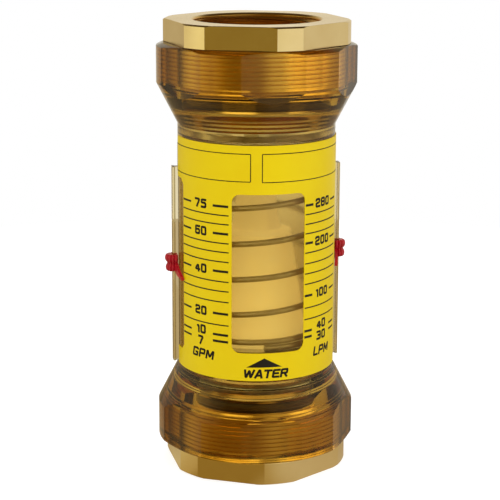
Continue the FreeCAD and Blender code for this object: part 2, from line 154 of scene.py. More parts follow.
# Cone
CONE_OUTLINE = [(13.9, 36.0), (16.5, 36.0), (19.2, 41.0), (19.2, 50.0), (13.0, 89.5), (9.2, 90.3),
                (4.2, 122.5), (2.55, 122.5), (2.55, 109.0), (0, 109.0), (0, 89.5), (8.0, 89.5),
                (8.0, 86.8), (7.2, 86.0), (7.2, 82.5), (8.0, 81.7), (8.0, 79.0), (4.3, 79.0),
                (4.3, 77.0), (12.35, 77.0), (16.6, 50.0), (16.6, 41.0)]

# Pointers
GRIP_PLACE = 31.2                 # from the meter's axis
GRIP_SHAPE = [(2.3, -3.2), (2.75, -2.95), (3.0, -2.3), (3.05, -1.6), (2.85, -0.9), (2.45, -0.3),
              (2.5, 0.1), (3.0, 0.7), (3.28, 1.4), (3.3, 2.1), (3.1, 2.8), (2.6, 3.2)]
GRIP_FLUTES = 14
FLUTE_DEPTH = 0.6
RAIL_PLAY = 0.25
TAIL_RADII = (29.9, 31.0)
TAIL_TIP = (72.0, 4.5, 0.8)       # angle from the window's centre, drop and width
TAIL_ROOT = (1.4, -3.0)
POINTER_REACH = 9.0               # more than a pointer goes above or below its height
POINTER_HEIGHTS = {"left_pointer": 77.4, "right_pointer": 80.8}


# ---- Small tools -------------------------------------------------------------------------------
def colour(code):
    """An sRGB hex colour as linear values, opaque."""
    values = [int(code[i:i + 2], 16) / 255 for i in (1, 3, 5)]
    linear = [v / 12.92 if v <= 0.04045 else ((v + 0.055) / 1.055) ** 2.4 for v in values]
    return (*linear, 1.0)


def node(tree, kind, inputs=(), stops=(), **settings):
    """Adds a node. Its inputs are values, other nodes (for their first output), nodes' outputs, or a
    list of those for a socket that joins; stops are a ramp's colours."""
    made = tree.nodes.new(kind)
    for name, value in settings.items():
        setattr(made, name, value)
    for name, value in dict(inputs).items():
        for given in value if isinstance(value, list) else [value]:
            if isinstance(given, bpy.types.Node):
                given = given.outputs[0]
            if isinstance(given, bpy.types.NodeSocket):
                tree.links.new(given, made.inputs[name])
            else:
                made.inputs[name].default_value = given
    for i, (place, value) in enumerate(stops):
        elements = made.color_ramp.elements
        element = elements[i] if i < len(elements) else elements.new(place)
        element.position = place
        element.color = value
    return made


def around(radius, angle, height):
    """A point in metres from a radius, an angle from the window's centre, and a height in mm."""
    turn = math.radians(angle)
    return Vector((radius * math.sin(turn), -radius * math.cos(turn), height)) * MM


def evaluated_mesh(piece):
    """The piece's mesh with its modifiers worked in."""
    bpy.context.view_layer.update()
    return bpy.data.meshes.new_from_object(piece.evaluated_get(bpy.context.evaluated_depsgraph_get()))


def work_in(piece):
    """Puts the modifiers' result in the mesh and removes them."""
    mesh = evaluated_mesh(piece)
    piece.modifiers.clear()
    piece.data = mesh
    return piece


def new_piece(name, mesh):
    piece = bpy.data.objects.new(name, mesh)
    bpy.context.scene.collection.objects.link(piece)
    return piece


def put_in(mesh, shape):
    """The mesh, filled from the bmesh."""
    shape.to_mesh(mesh)
    shape.free()
    return mesh


def mesh_from(name, points, faces):
    """A clean closed mesh: doubles merged, normals outwards."""
    shape = bmesh.new()
    corners = [shape.verts.new(p) for p in points]
    for face in faces:
        shape.faces.new([corners[i] for i in face])
    bmesh.ops.remove_doubles(shape, verts=shape.verts, dist=1e-6)
    bmesh.ops.dissolve_degenerate(shape, edges=shape.edges, dist=1e-7)
    bmesh.ops.recalc_face_normals(shape, faces=shape.faces)
    return put_in(bpy.data.meshes.new(name), shape)


def lofted(name, points, count):
    """A closed mesh over rings of so many points each, with a cap at both ends."""
    rings = len(points) // count
    faces = [tuple(range(count)), tuple(range((rings - 1) * count, rings * count))]
    for i in range(rings - 1):
        for k in range(count):
            n = (k + 1) % count
            faces.append((i * count + k, i * count + n, (i + 1) * count + n, (i + 1) * count + k))
    return mesh_from(name, points, faces)


def smooth(mesh, sharp_angle=28):
    """Smooth shading with creases where faces meet at more than this many degrees."""
    mesh.polygons.foreach_set("use_smooth", [True] * len(mesh.polygons))
    mesh.set_sharp_from_angle(angle=math.radians(sharp_angle))
    return mesh


def shaded(piece, sharp_angle=28):
    """Smooth shading in which large faces stay flat beside the small rounds of their edges."""
    smooth(piece.data, sharp_angle)
    weighted = piece.modifiers.new("flats", "WEIGHTED_NORMAL")
    weighted.keep_sharp = True
    weighted.weight = 90
    return work_in(piece)


def eased(piece, width):
    """Breaks the piece's edges by a small round."""
    bevel = piece.modifiers.new("edges", "BEVEL")
    bevel.width = width * MM
    bevel.segments = 2
    bevel.limit_method = "ANGLE"
    bevel.angle_limit = math.radians(32)
    return work_in(piece)


def node_modifier(piece, tree, finish, numbers):
    """Runs a geometry node tree on the piece, with its inputs given by name, and works it in."""
    modifier = piece.modifiers.new(tree.name, "NODES")
    modifier.node_group = tree
    sockets = {s.name: s.identifier for s in tree.interface.items_tree if s.in_out == "INPUT"}
    for name, value in {"Material": finish, **numbers}.items():
        modifier[sockets[name]] = value
    piece.update_tag()
    return work_in(piece)


def geometry_tree(name, *numbers):
    """A new tree that takes a part, a material and these named numbers, and its first node."""
    tree = bpy.data.node_groups.new(name, "GeometryNodeTree")
    tree.interface.new_socket(name="Part", in_out="OUTPUT", socket_type="NodeSocketGeometry")
    kinds = {"Part": "Geometry", "Material": "Material", **dict.fromkeys(numbers, "Float")}
    for label, kind in kinds.items():
        tree.interface.new_socket(name=label, in_out="INPUT", socket_type="NodeSocket" + kind)
    return tree, node(tree, "NodeGroupInput")


def closed_tree(tree, geometry, source):
    """The tree with its end: real geometry that has its material."""
    real = node(tree, "GeometryNodeRealizeInstances", {"Geometry": geometry})
    finish = node(tree, "GeometryNodeSetMaterial",
                  {"Geometry": real, "Material": source.outputs["Material"]})
    node(tree, "NodeGroupOutput", {"Part": finish})
    return tree


# ---- Turned meshes with hexagonal ends ---------------------------------------------------------
EVEN_ANGLES = [COLUMN_ANGLE * i for i in range(round(360 / COLUMN_ANGLE))]


def hexagon_angles(flats, corner_radius, turn):
    """Angles of the columns, with one on each border between a flat and a turned corner."""
    half_flat = math.degrees(math.acos(flats / 2 / corner_radius))
    half_corner = 30 - half_flat
    angles = []
    for i in range(6):
        corner = turn + 60 * i
        arcs = ((corner - half_corner, 2 * half_corner), (corner + half_corner, 2 * half_flat))
        for start, width in arcs:
            steps = max(1, round(width / COLUMN_ANGLE))
            angles += [start + width * k / steps for k in range(steps)]
    return angles


def flat_limit(flats, turn, angle):
    """How far out the hexagon lets a column at this angle reach."""
    off_flat = (angle - turn) % 60 - 30
    return flats / 2 / math.cos(math.radians(off_flat))


def held_in(outline, limit):
    """The outline with its points slid along it to where it meets the limit."""
    held = []
    for i, (radius, height) in enumerate(outline):
        if radius > limit:
            for near in (outline[i - 1], outline[(i + 1) % len(outline)]):
                if near[0] <= limit:
                    share = (limit - near[0]) / (radius - near[0])
                    height = near[1] + share * (height - near[1])
                    break
            radius = limit
        held.append((radius, height))
    return held


def turned_mesh(name, outline, angles, flats=None, turn=0):
    """A closed mesh turned from a closed outline of (radius, height), and cut to a hexagon if it is
    to be one."""
    points = []
    for angle in angles:
        column = held_in(outline, flat_limit(flats, turn, angle)) if flats else outline
        points += [around(radius, angle, height) for radius, height in column]
    rows = len(outline)
    faces = []
    for j in range(len(angles)):
        k = (j + 1) % len(angles)
        for i in range(rows):
            n = (i + 1) % rows
            if outline[i][0] == 0 and outline[n][0] == 0:
                continue
            faces.append((j * rows + i, k * rows + i, k * rows + n, j * rows + n))
    return mesh_from(name, points, faces)


def flipped(outline):
    """The same outline for the other end of the meter."""
    return [(radius, LENGTH - height) for radius, height in outline]


# ---- Clear body --------------------------------------------------------------------------------
def rail_prism(name, side, root, play, bottom, top):
    """The T of a rail, or with some play the slot for it, as a closed prism."""
    stem, head = RAIL_STEM / 2 + play, RAIL_HEAD / 2 + play
    inner, outer = RAIL_HEAD_RADII[0] - play, RAIL_HEAD_RADII[1] + play
    outline = [(root, stem), (inner, stem), (inner, head), (outer, head)]
    outline += [(x, -y) for x, y in reversed(outline)]
    points = [Vector((side * x, y, height)) * MM for height in (bottom, top) for x, y in outline]
    return new_piece(name, lofted(name, points, len(outline)))


def rail(side):
    """A rail in the shape of a T, with its root in the tube's wall."""
    return eased(rail_prism("rail", side, RAIL_ROOT, 0, *RAIL_HEIGHTS), RAIL_EDGE)


def combined(piece, others, operation):
    """The piece with the others fused to it or cut from it."""
    for other in others:
        change = piece.modifiers.new("combine", "BOOLEAN")
        change.operation = operation
        change.solver = "EXACT"
        change.object = other
    work_in(piece)
    for other in others:
        bpy.data.objects.remove(other)
    return piece


def turned_rings():
    """The shallow rings that the tool left in the upper bore, upwards."""
    bottom, top, count, depth = TURNED_RINGS
    pitch = (top - bottom) / count
    points = []
    for i in range(count):
        start = bottom + i * pitch
        points += [(FLOAT_BORE, start), (FLOAT_BORE + depth, start + pitch / 2)]
    return points + [(FLOAT_BORE, top)]


def clear_body():
    outline = BODY_OUTLINE + flipped(reversed(BODY_OUTLINE))
    socket = [(BODY_THREAD_ROOT, BODY_END), (BODY_THREAD_ROOT, BODY_THREAD_END)]
    lower = socket + LOWER_BORE
    upper = UPPER_BORE + turned_rings() + UPPER_SEAT + flipped(reversed(socket))
    outline += list(reversed(lower + upper))
    angles = hexagon_angles(END_FLATS, END_CORNER_RADIUS, END_TURN)
    body = new_piece("amber_body", turned_mesh("amber_body", outline, angles, END_FLATS, END_TURN))
    eased(body, BODY_EDGE)
    combined(body, [rail(-1), rail(1)], "UNION")
    return shaded(body, 15)


# ---- Brass fittings ----------------------------------------------------------------------------
def thread_tree():
    """A helical thread round or inside a wall, added to the part that carries it."""
    tree, source = geometry_tree("helical_thread", "Start radius", "End radius", "Start height",
                                 "Pitch", "Turns", "Crest", "Flat", "Side")
    length = node(tree, "ShaderNodeMath", {0: source.outputs["Pitch"], 1: source.outputs["Turns"]},
                  operation="MULTIPLY")
    run = node(tree, "GeometryNodeCurveSpiral", {
        "Resolution": THREAD_STEPS,
        "Rotations": source.outputs["Turns"],
        "Start Radius": source.outputs["Start radius"],
        "End Radius": source.outputs["End radius"],
        "Height": length,
        "Reverse": True,
    })
    upright = node(tree, "GeometryNodeSetCurveNormal", {"Curve": run}, mode="Z_UP")
    share = node(tree, "GeometryNodeSplineParameter")
    nearer = node(tree, "ShaderNodeMath", {0: share.outputs["Factor"], 1: 0.5}, operation="PINGPONG")
    fade = node(tree, "ShaderNodeMath", {0: nearer, 1: THREAD_FADE},
                operation="MULTIPLY", use_clamp=True)
    wide = node(tree, "ShaderNodeMath", {0: source.outputs["Pitch"], 1: THREAD_FOOT},
                operation="MULTIPLY")
    narrow = node(tree, "ShaderNodeMath", {0: source.outputs["Pitch"], 1: source.outputs["Flat"]},
                  operation="MULTIPLY")
    section = node(tree, "GeometryNodeCurvePrimitiveQuadrilateral", {
        "Bottom Width": wide,
        "Top Width": narrow,
        "Height": source.outputs["Crest"],
        "Offset": 0.0,
    }, mode="TRAPEZOID")
    half = node(tree, "ShaderNodeMath", {0: source.outputs["Crest"], 1: THREAD_CENTRE},
                operation="MULTIPLY")
    rise = node(tree, "ShaderNodeCombineXYZ", {"Y": half})
    seated = node(tree, "GeometryNodeTransform", {"Geometry": section, "Translation": rise})
    turn = node(tree, "ShaderNodeCombineXYZ", {"Z": source.outputs["Side"]})
    facing = node(tree, "GeometryNodeTransform", {"Geometry": seated, "Rotation": turn})
    ridge = node(tree, "GeometryNodeCurveToMesh",
                 {"Curve": upright, "Profile Curve": facing, "Scale": fade, "Fill Caps": True})
    lift = node(tree, "ShaderNodeCombineXYZ", {"Z": source.outputs["Start height"]})
    lifted = node(tree, "GeometryNodeTransform", {"Geometry": ridge, "Translation": lift})
    both = node(tree, "GeometryNodeJoinGeometry", {0: [source.outputs["Part"], lifted]})
    return closed_tree(tree, both, source)


def end_fitting(name, turn, thread, finish):
    """The lower fitting: hexagonal flange, threaded spigot, nose, and a threaded port through it."""
    groove_bottom, groove_top, groove_radius = O_RING_GROOVE
    bevel_width, bevel_height = FLANGE_BEVEL
    outline = [
        (FLANGE_CORNER_RADIUS - bevel_width, 0), (FLANGE_CORNER_RADIUS, bevel_height),
        (FLANGE_CORNER_RADIUS, FLANGE_HEIGHT), (SPIGOT_ROOT, FLANGE_HEIGHT), (SPIGOT_ROOT, SPIGOT_END),
        (NOSE_RADIUS, SPIGOT_END + NOSE_RISE), (NOSE_RADIUS, groove_bottom),
        (groove_radius, groove_bottom), (groove_radius, groove_top), (NOSE_RADIUS, groove_top),
        (NOSE_RADIUS, NOSE_END), (PORT_BORE, NOSE_END), (PORT_BORE, PORT_DEPTH + PORT_STEP),
        (PORT_RADIUS, PORT_DEPTH), (PORT_MOUTH[0], PORT_LEAD), (PORT_MOUTH[1], 0),
    ]
    angles = hexagon_angles(FLANGE_FLATS, FLANGE_CORNER_RADIUS, turn)
    piece = new_piece(name, turned_mesh(name, outline, angles, FLANGE_FLATS, turn))
    eased(piece, FITTING_EDGE)
    for corner in piece.data.vertices:
        corner.co.z = max(corner.co.z, 0.0)     # the round at a corner may not go past the end face
    node_modifier(piece, thread, finish, {
        "Start radius": SPIGOT_ROOT * MM,
        "End radius": SPIGOT_ROOT * MM,
        "Start height": BODY_THREAD_START * MM,
        "Pitch": BODY_THREAD_PITCH * MM,
        "Turns": (SPIGOT_END - FLANGE_HEIGHT) / BODY_THREAD_PITCH - THREAD_SHORT[0],
        "Crest": BODY_THREAD_CREST * MM,
        "Flat": THREAD_FLATS[0],
        "Side": -math.pi / 2,
    })
    return node_modifier(piece, thread, finish, {
        "Start radius": PIPE_THREAD_ROOT * MM,
        "End radius": (PIPE_THREAD_ROOT - PORT_DEPTH * PIPE_TAPER) * MM,
        "Start height": PIPE_THREAD_START * MM,
        "Pitch": PIPE_THREAD_PITCH * MM,
        "Turns": PORT_DEPTH / PIPE_THREAD_PITCH - THREAD_SHORT[1],
        "Crest": PIPE_THREAD_CREST * MM,
        "Flat": THREAD_FLATS[1],
        "Side": math.pi / 2,
    })


def upturned(piece):
    """Turns a lower piece over for the meter's other end, about the line that looks at the window."""
    piece.data.transform(Matrix.Translation((0, 0, LENGTH * MM)) @ Matrix.Rotation(math.pi, 4, "Y"))
    return piece


# ---- Wrapped sheets: the label and its print ---------------------------------------------------
def flat_x(angle):
    """Where an angle comes on the flat label, in millimetres along the arc."""
    return math.radians(angle) * LABEL_RADIUS


def wrap_tree():
    """Bends a flat sheet, and the marks that its points ask for, round the tube."""
    tree, source = geometry_tree("wrapped_round_tube", "Radius", "Thickness")
    is_mark = node(tree, "GeometryNodeInputNamedAttribute", {"Name": "is_mark"}, data_type="BOOLEAN")
    parts = node(tree, "GeometryNodeSeparateGeometry",
                 {"Geometry": source.outputs["Part"], "Selection": is_mark})
    bar = node(tree, "GeometryNodeMeshCube", {"Size": (1, 1, 1), "Vertices X": 32})
    size = node(tree, "ShaderNodeCombineXYZ", {
        "X": node(tree, "GeometryNodeInputNamedAttribute", {"Name": "mark_width"}),
        "Y": node(tree, "GeometryNodeInputNamedAttribute", {"Name": "mark_weight"}),
        "Z": source.outputs["Thickness"],
    })
    marks = node(tree, "GeometryNodeInstanceOnPoints",
                 {"Points": parts.outputs["Selection"], "Instance": bar, "Scale": size})
    real = node(tree, "GeometryNodeRealizeInstances", {"Geometry": marks})
    flat = node(tree, "GeometryNodeJoinGeometry", {0: [parts.outputs["Inverted"], real]})
    place = node(tree, "ShaderNodeSeparateXYZ", {0: node(tree, "GeometryNodeInputPosition")})
    radius = node(tree, "ShaderNodeMath", {0: source.outputs["Radius"], 1: place.outputs["Z"]},
                  operation="ADD")
    # A spoke away from the window, turned half round and on by the angle that x stands for
    spoke = node(tree, "ShaderNodeCombineXYZ", {"Y": radius, "Z": place.outputs["Y"]})
    per_metre = 1 / (LABEL_RADIUS * MM)
    angle = node(tree, "ShaderNodeMath", {0: place.outputs["X"], 1: per_metre, 2: math.pi},
                 operation="MULTIPLY_ADD")
    bent = node(tree, "ShaderNodeVectorRotate", {"Vector": spoke, "Angle": angle},
                rotation_type="Z_AXIS")
    wrapped = node(tree, "GeometryNodeSetPosition", {"Geometry": flat, "Position": bent})
    return closed_tree(tree, wrapped, source)


def sliced(mesh):
    """Cuts a flat mesh into upright strips, so that it bends without corners."""
    width = SLICE * MM
    shape = bmesh.new()
    shape.from_mesh(mesh)
    bmesh.ops.remove_doubles(shape, verts=shape.verts, dist=1e-7)
    xs = [v.co.x for v in shape.verts]
    for i in range(math.ceil(min(xs) / width), math.floor(max(xs) / width) + 1):
        everything = shape.verts[:] + shape.edges[:] + shape.faces[:]
        bmesh.ops.bisect_plane(shape, geom=everything, dist=1e-7, plane_co=(i * width, 0, 0),
                               plane_no=(1, 0, 0))
    return put_in(mesh, shape)


def curve_sheet(name, loops, thickness):
    """A flat solid sheet from closed loops of (x, y) in millimetres: the first is its edge."""
    data = bpy.data.curves.new(name, "CURVE")
    data.dimensions = "2D"
    data.fill_mode = "BOTH"
    data.extrude = thickness / 2 * MM
    for loop in loops:
        spline = data.splines.new("POLY")
        spline.points.add(len(loop) - 1)
        for point, (x, y) in zip(spline.points, loop):
            point.co = (x * MM, y * MM, 0, 1)
        spline.use_cyclic_u = True
    piece = new_piece(name, data)
    mesh = evaluated_mesh(piece)
    bpy.data.objects.remove(piece)
    return sliced(mesh)


def rounded_box(x0, y0, x1, y1, radius):
    """A closed loop with rounded corners."""
    steps = 6
    loop = []
    corners = ((x1 - radius, y0 + radius, -90), (x1 - radius, y1 - radius, 0),
               (x0 + radius, y1 - radius, 90), (x0 + radius, y0 + radius, 180))
    for cx, cy, start in corners:
        for i in range(steps + 1):
            turn = math.radians(start + 90 * i / steps)
            loop.append((cx + radius * math.cos(turn), cy + radius * math.sin(turn)))
    return loop


def label_loops():
    """The flat label: its edge with a notch at each side, and the window."""
    low, high = LABEL_HEIGHTS
    notch_low, notch_high = NOTCH_HEIGHTS
    side, inner = flat_x(LABEL_HALF_ANGLE), flat_x(NOTCH_HALF_ANGLE)
    slant, cut = NOTCH_SLANT, LABEL_CORNER
    right = [(side - cut, low), (side, low + cut), (side, notch_low - slant),
             (inner + slant, notch_low - slant), (inner, notch_low), (inner, notch_high),
             (inner + slant, notch_high + slant), (side, notch_high + slant),
             (side, high - cut), (side - cut, high)]
    window = rounded_box(-flat_x(WINDOW_HALF_ANGLE), WINDOW_HEIGHTS[0], flat_x(WINDOW_HALF_ANGLE),
                         WINDOW_HEIGHTS[1], WINDOW_CORNER)
    return [right + [(-x, y) for x, y in reversed(right)], window]


# Letters and numbers as strokes of a sign pen, in a cell 4 wide and 6 high
STROKES = {
    "0": [[(0, 0), (4, 0), (4, 6), (0, 6), (0, 0)]],
    "1": [[(1.2, 5.1), (2.4, 6), (2.4, 0)]],
    "2": [[(0, 5.3), (0, 6), (4, 6), (4, 3.3), (0, 2.6), (0, 0), (4, 0)]],
    "3": [[(0, 6), (4, 6), (4, 0), (0, 0)], [(1.4, 3.1), (4, 3.1)]],
    "4": [[(3.1, 0), (3.1, 6.3), (0, 1.9), (0, 1.4), (4, 1.4)]],
    "5": [[(4, 6), (0, 6), (0, 3.5), (4, 3.5), (4, 0), (0, 0)]],
    "6": [[(4, 6), (0, 6), (0, 0), (4, 0), (4, 3.4), (0, 3.4)]],
    "7": [[(0, 6), (4, 6), (4, 5.3), (1.5, 0)]],
    "8": [[(0, 0), (4, 0), (4, 6), (0, 6), (0, 0)], [(0, 3.1), (4, 3.1)]],
    "A": [[(0, 0), (2.1, 7.1), (4.2, 0)], [(1, 1.6), (3.2, 1.6)]],
    "E": [[(4, 6), (0, 6), (0, 0), (4, 0)], [(0, 3.1), (3.2, 3.1)]],
    "G": [[(4, 5.4), (4, 6), (0, 6), (0, 0), (4, 0), (4, 2.6), (2.6, 2.6)]],
    "L": [[(0, 6), (0, 0), (3.4, 0)]],
    "M": [[(0, 0), (0, 7), (2.6, 0.8), (5.2, 7), (5.2, 0)]],
    "P": [[(0, 0), (0, 6), (4, 6), (4, 2.6), (0, 2.6)]],
    "R": [[(0, 0), (0, 6), (4, 6), (4, 2.8), (0, 2.8)], [(2.2, 2.8), (4, 0)]],
    "T": [[(0, 6), (4.2, 6)], [(2.1, 6), (2.1, 0)]],
    "W": [[(0, 6), (1.5, -1), (3.1, 6.8), (4.7, -1), (6.2, 6)]],
}


def word_strokes(words, angle, level, height, width, weight, gap, slant=0.0):
    """The strokes of a word on the flat label, centred on an angle and a height, in millimetres."""
    unit = (height - weight) / 6
    across = (width - weight) / 4
    strokes = []
    left = 0.0
    for letter in words:
        reach = max(x for run in STROKES[letter] for x, y in run) * across
        for run in STROKES[letter]:
            strokes.append([(left + x * across + slant * y * unit, (y - 3) * unit) for x, y in run])
        left += reach + weight + gap
    middle = (left - weight - gap + 6 * slant * unit) / 2
    return [[(flat_x(angle) + x - middle, level + y) for x, y in run] for run in strokes]


def pen_tree():
    """Draws edges as flat strokes of ink with rounded corners."""
    tree, source = geometry_tree("ink_strokes", "Weight", "Corner", "Thickness")
    run = node(tree, "GeometryNodeMeshToCurve", {"Mesh": source.outputs["Part"]})
    upright = node(tree, "GeometryNodeSetCurveNormal", {"Curve": run}, mode="Z_UP")
    corner = source.outputs["Corner"]
    rounded = node(tree, "GeometryNodeFilletCurve",
                   {"Curve": upright, "Radius": corner, "Limit Radius": True, "Count": 3}, mode="POLY")
    split = node(tree, "GeometryNodeSubdivideCurve", {"Curve": rounded, "Cuts": 3})
    pen = node(tree, "GeometryNodeCurvePrimitiveQuadrilateral",
               {"Width": source.outputs["Weight"], "Height": source.outputs["Thickness"]})
    ink = node(tree, "GeometryNodeCurveToMesh",
               {"Curve": split, "Profile Curve": pen, "Fill Caps": True})
    return closed_tree(tree, ink, source)


def past_ends(run, reach):
    """An open stroke drawn on past both of its ends, as a square nib draws it."""
    points = [Vector(point) for point in run]
    start = (points[0] - points[1]).normalized() * reach
    end = (points[-1] - points[-2]).normalized() * reach
    return [points[0] + start, *points[1:-1], points[-1] + end]


def drawn(strokes, weight, corner, pen, ink):
    """A flat mesh of ink along the strokes."""
    points = []
    edges = []
    for run in strokes:
        closed = run[0] == run[-1]
        corners = run[:-1] if closed else past_ends(run, weight / 2)
        first = len(points)
        points += [Vector((x, y, 0)) * MM for x, y in corners]
        edges += [(i, i + 1) for i in range(first, len(points) - 1)]
        if closed:
            edges.append((len(points) - 1, first))
    mesh = bpy.data.meshes.new("strokes")
    mesh.from_pydata(points, edges, [])
    piece = node_modifier(new_piece("strokes", mesh), pen, ink, {
        "Weight": weight * MM, "Corner": corner * MM, "Thickness": INK_THICKNESS * MM,
    })
    mesh = piece.data
    bpy.data.objects.remove(piece)
    return mesh


# ---- Print of the scale ------------------------------------------------------------------------
THICK, THIN = 0.9, 0.46           # line weights
# The scale's two sides, left and right: the heights of the lines, the numbers with their heights, and
# the angles from the window's centre of lines, inner ticks, outer ticks and the numbers' middle
SCALES = {
    -1: ([100.1, 96.8, 89.8, 86.5, 82.9, 75.5, 71.9, 67.9, 59.1],
         {"75": 103.4, "60": 93.3, "40": 79.3, "20": 63.4, "10": 55.4, "7": 52.9},
         ((29.0, 73.5), (29.3, 41.4), (62.6, 73.5), 52.5)),
    1: ([99.7, 96.1, 92.6, 85.4, 81.4, 77.6, 73.7, 64.7, 60.4],
        {"280": 103.1, "200": 89.0, "100": 69.3, "40": 55.9, "30": 53.6},
        ((27.6, 67.5), (27.6, 34.8), (57.0, 67.5), 45.6)),
}
# The lowest numbers stand further apart than their ticks
NUMBER_LIFT = 0.2
NUMBER_LIFTS = {(-1, "10"): 1.0, (-1, "7"): -0.8, (1, "40"): 1.4, (1, "30"): -0.6}
OUTER_TICK = 0.8                  # weight of an outer tick, of an inner one
NUMBER_SIZE = (3.5, 2.7, 0.85, 0.38)      # height, width, stroke and gap
UNIT_SIZE = (3.6, 3.0, 0.82, 0.4)
WATER_SIZE = (3.4, 2.95, 0.84, 0.15)
SLANT = 0.2
NUMBER_ROUND, WORD_ROUND, FRAME_ROUND = 0.35, 0.18, 0.3       # of the corners that the pen turns
WORDS = (("GPM", -50.6, 47.2, UNIT_SIZE), ("LPM", 46.6, 47.3, UNIT_SIZE),
         ("WATER", -2, 41.45, WATER_SIZE))
ARROW_PLACE = (-3.3, 43.9)
ARROW_SIZE = (13.2, 3.5)
FRAME_LINE = 0.32
FRAME_STEPS = 12                  # a frame's side is bent in so many
TOP_FRAMES = ((-46.0, 112.8, -7.0, 122.8), (-2.8, 112.6, 42.0, 122.8))


def scale_marks():
    """Lines and ticks as (first angle, last angle, height, weight)."""
    marks = []
    for side, (levels, numbers, (line, inner, outer, middle)) in SCALES.items():
        for level in levels:
            marks.append((side * line[0], side * line[1], level, THIN))
        for level in numbers.values():
            marks.append((side * inner[0], side * inner[1], level, THICK))
            marks.append((side * outer[0], side * outer[1], level, THICK * OUTER_TICK))
    return marks


def print_sheets(pen, ink):
    """Every flat solid of the print: numbers, words, arrow and the plain frames at the top."""
    sheets = []
    for side, (levels, numbers, places) in SCALES.items():
        strokes = []
        for words, level in numbers.items():
            lift = NUMBER_LIFTS.get((side, words), NUMBER_LIFT)
            strokes += word_strokes(words, side * places[-1], level + lift, *NUMBER_SIZE)
        sheets.append(drawn(strokes, NUMBER_SIZE[2], NUMBER_ROUND, pen, ink))
    for words, angle, level, size in WORDS:
        strokes = word_strokes(words, angle, level, *size, SLANT)
        sheets.append(drawn(strokes, size[2], WORD_ROUND, pen, ink))
    middle, foot = flat_x(ARROW_PLACE[0]), ARROW_PLACE[1]
    half, rise = ARROW_SIZE[0] / 2, ARROW_SIZE[1]
    arrow = [(middle - half, foot), (middle + half, foot), (middle, foot + rise)]
    sheets.append(curve_sheet("arrow", [arrow], INK_THICKNESS))
    for x0, y0, x1, y1 in TOP_FRAMES:
        corners = [(x0, y0), (x1, y0), (x1, y1), (x0, y1), (x0, y0)]
        loop = [(a + (c - a) * k / FRAME_STEPS, b + (d - b) * k / FRAME_STEPS)
                for (a, b), (c, d) in zip(corners, corners[1:]) for k in range(FRAME_STEPS)]
        sheets.append(drawn([loop + [corners[0]]], FRAME_LINE, FRAME_ROUND, pen, ink))
    return sheets


def merged(name, meshes):
    """One mesh from several."""
    shape = bmesh.new()
    for mesh in meshes:
        shape.from_mesh(mesh)
        bpy.data.meshes.remove(mesh)
    return put_in(bpy.data.meshes.new(name), shape)


def scale_print(wrap, ink):
    """The ink: strokes and solids, and one point for each mark that the wrapping turns into a bar."""
    mesh = merged("scale_print", print_sheets(pen_tree(), ink))
    solid_points = len(mesh.vertices)
    marks = scale_marks()
    mesh.vertices.add(len(marks))
    for v, (first, last, level, weight) in zip(list(mesh.vertices)[solid_points:], marks):
        v.co = Vector((flat_x((first + last) / 2), level, 0)) * MM
    widths = [abs(flat_x(last - first)) * MM for first, last, level, weight in marks]
    weights = [weight * MM for first, last, level, weight in marks]
    for label, kind, values in (("is_mark", "BOOLEAN", [True] * len(marks)),
                                ("mark_width", "FLOAT", widths), ("mark_weight", "FLOAT", weights)):
        field = mesh.attributes.new(label, kind, "POINT")
        field.data.foreach_set("value", [0] * solid_points + values)
    return node_modifier(new_piece("scale_print", mesh), wrap, ink, {
        "Radius": (LABEL_RADIUS + INK_THICKNESS / 2 - INK_SUNK) * MM,
        "Thickness": INK_THICKNESS * MM,
    })


def scale_label(wrap, stock):
    piece = new_piece("scale_label_stock", curve_sheet("label", label_loops(), LABEL_THICKNESS))
    node_modifier(piece, wrap, stock, {"Radius": (LABEL_RADIUS - LABEL_THICKNESS / 2) * MM})
    smooth(piece.data)
    return piece


# ---- Spring ------------------------------------------------------------------------------------
def spring_path():
    """The run of the wire: closed coils at both ends and even coils between them."""
    closed_turns, closed_pitch = SPRING_CLOSED
    height = SPRING_HEIGHTS[1] - SPRING_HEIGHTS[0] - SPRING_WIRE
    spare = height - (2 * closed_turns + SPRING_RAMP) * closed_pitch
    pitch = spare / (SPRING_ACTIVE + SPRING_RAMP)
    stretches = [(closed_turns, closed_pitch, closed_pitch), (SPRING_RAMP, closed_pitch, pitch),
                 (SPRING_ACTIVE, pitch, pitch), (SPRING_RAMP, pitch, closed_pitch),
                 (closed_turns, closed_pitch, closed_pitch)]
    level = SPRING_HEIGHTS[0] + SPRING_WIRE / 2
    turn = 0.0
    path = [around(SPRING_RADIUS, SPRING_START, level)]
    for turns, first, last in stretches:
        steps = round(turns * SPRING_STEPS)
        for i in range(1, steps + 1):
            done = turns * i / steps
            rise = first * done + (last - first) * done * done / (2 * turns)
            path.append(around(SPRING_RADIUS, SPRING_START + 360 * (turn + done), level + rise))
        level += turns * (first + last) / 2
        turn += turns
    return path


def wire_tree():
    """Round wire along a path of edges."""
    tree, source = geometry_tree("round_wire", "Wire radius")
    run = node(tree, "GeometryNodeMeshToCurve", {"Mesh": source.outputs["Part"]})
    section = node(tree, "GeometryNodeCurvePrimitiveCircle",
                   {"Resolution": 16, "Radius": source.outputs["Wire radius"]})
    wire = node(tree, "GeometryNodeCurveToMesh",
                {"Curve": run, "Profile Curve": section, "Fill Caps": True})
    return closed_tree(tree, wire, source)


def spring(finish):
    mesh = bpy.data.meshes.new("coil_spring")
    path = spring_path()
    mesh.from_pydata(path, [(i, i + 1) for i in range(len(path) - 1)], [])
    piece = node_modifier(new_piece("coil_spring", mesh), wire_tree(), finish,
                          {"Wire radius": SPRING_WIRE / 2 * MM})
    smooth(piece.data, 50)
    return piece


